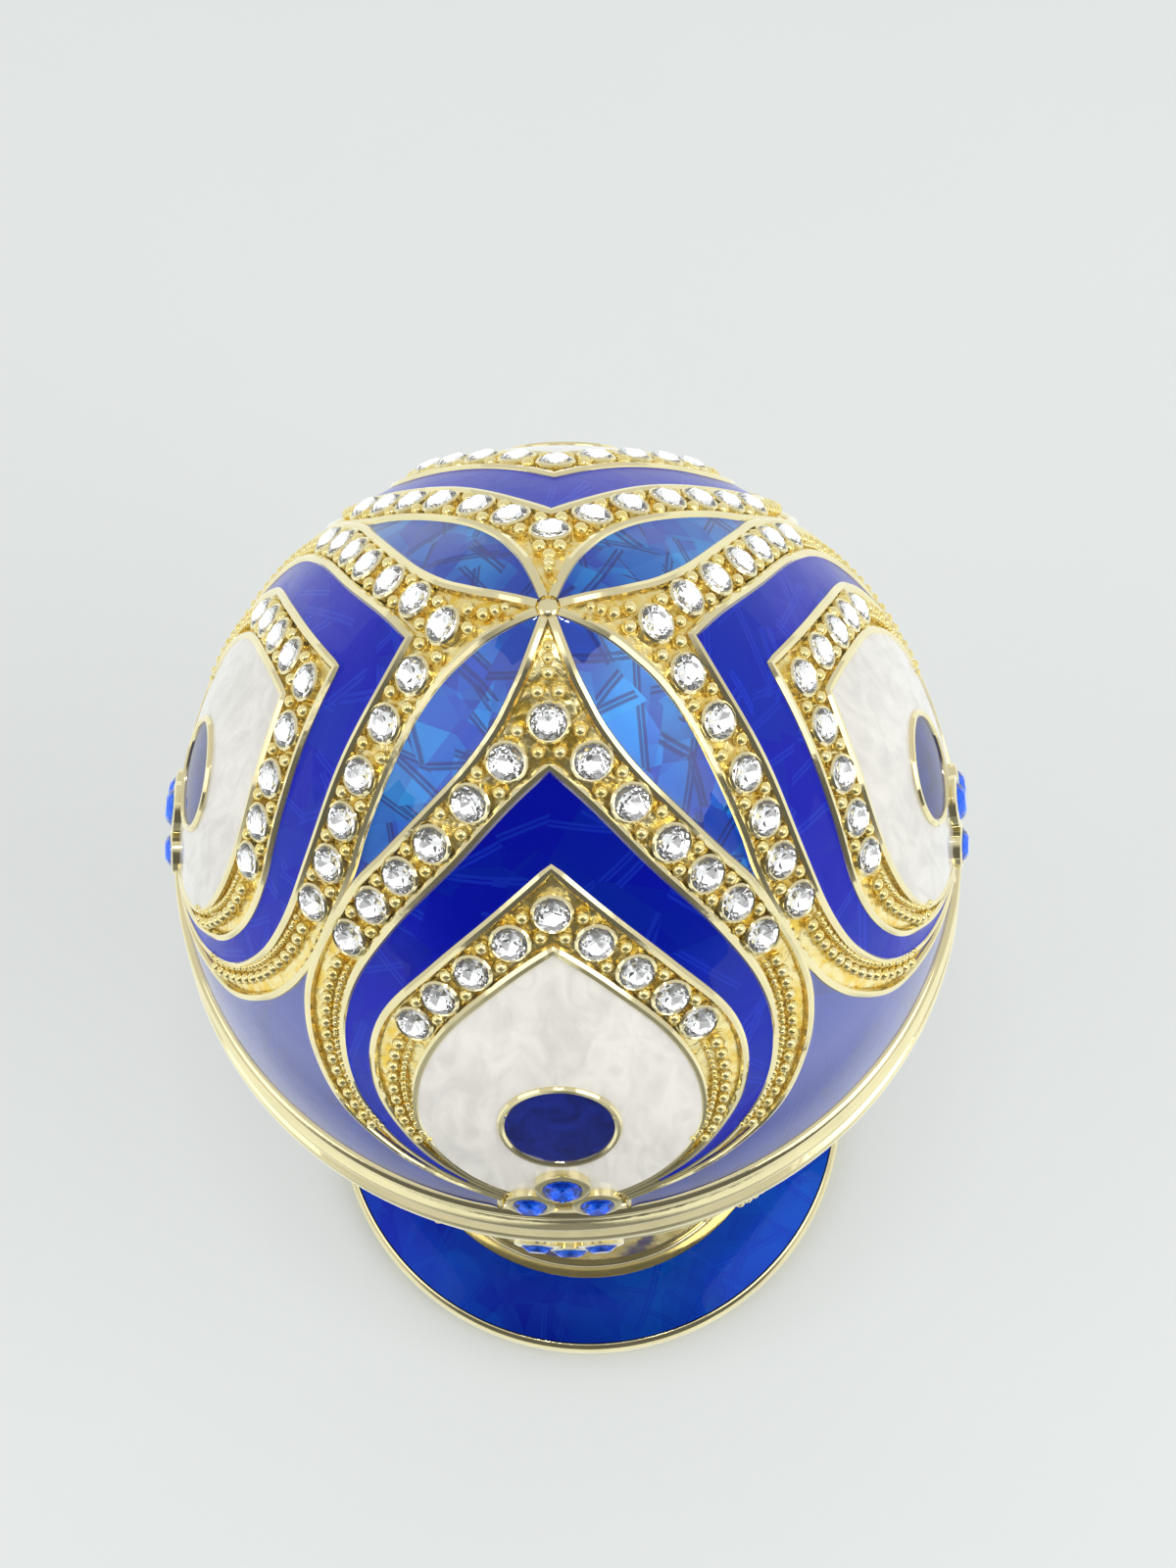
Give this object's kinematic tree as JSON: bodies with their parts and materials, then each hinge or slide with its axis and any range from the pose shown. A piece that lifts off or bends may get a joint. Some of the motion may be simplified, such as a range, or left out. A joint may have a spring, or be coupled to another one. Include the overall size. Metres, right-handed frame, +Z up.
{
  "type": "decorative egg on stand",
  "caption": "Enamelled egg box with a hinged lid, jewelled ogee arches and a round pedestal foot, free-standing.",
  "frame": {"origin": "middle of the felt pad's underside, on the surface that the foot stands on", "axes": "+Z up along the egg's axis, -Y towards the front, +Y towards the hinge, +X to the right"},
  "size_m": [0.0652, 0.0681, 0.1234],
  "materials": {
    "gold": "polished gold plating",
    "azure_enamel": "glossy transparent enamel over an engraved ground",
    "deep_blue_enamel": "glossy transparent enamel",
    "pearl_enamel": "glossy pearl enamel",
    "navy_enamel": "glossy enamel",
    "clear_stone": "faceted, foil backed",
    "blue_stone": "faceted, foil backed",
    "magnet_steel": "nickel plated",
    "felt": "short felt",
    "screw_steel": "zinc plated"
  },
  "bodies": {
    "base": {"base_shell": "gold", "base_petal_enamel": "azure_enamel", "base_chevron_enamel": "deep_blue_enamel", "base_spandrel_enamel": "deep_blue_enamel", "base_pearl_enamel": "pearl_enamel", "base_dot_enamel": "navy_enamel", "base_clear_stones": "clear_stone", "base_blue_stones": "blue_stone", "base_magnet": "magnet_steel", "base_hinge_leaf": "gold", "hinge_pin": "gold", "stem": "gold", "foot": "gold", "foot_enamel": "deep_blue_enamel", "felt_pad": "felt", "foot_screw": "screw_steel"},
    "lid": {"lid_shell": "gold", "lid_petal_enamel": "azure_enamel", "lid_chevron_enamel": "deep_blue_enamel", "lid_spandrel_enamel": "deep_blue_enamel", "lid_pearl_enamel": "pearl_enamel", "lid_dot_enamel": "navy_enamel", "lid_clear_stones": "clear_stone", "lid_blue_stones": "blue_stone", "lid_magnet": "magnet_steel", "lid_hinge_leaf": "gold"}
  },
  "joints": [
    {"name": "lid_hinge", "type": "hinge", "parent": "base", "child": "lid", "pos_m": [0, 0.034, 0.0785], "axis": [-1, 0, 0], "range_deg": [0, 95]}
  ]
}
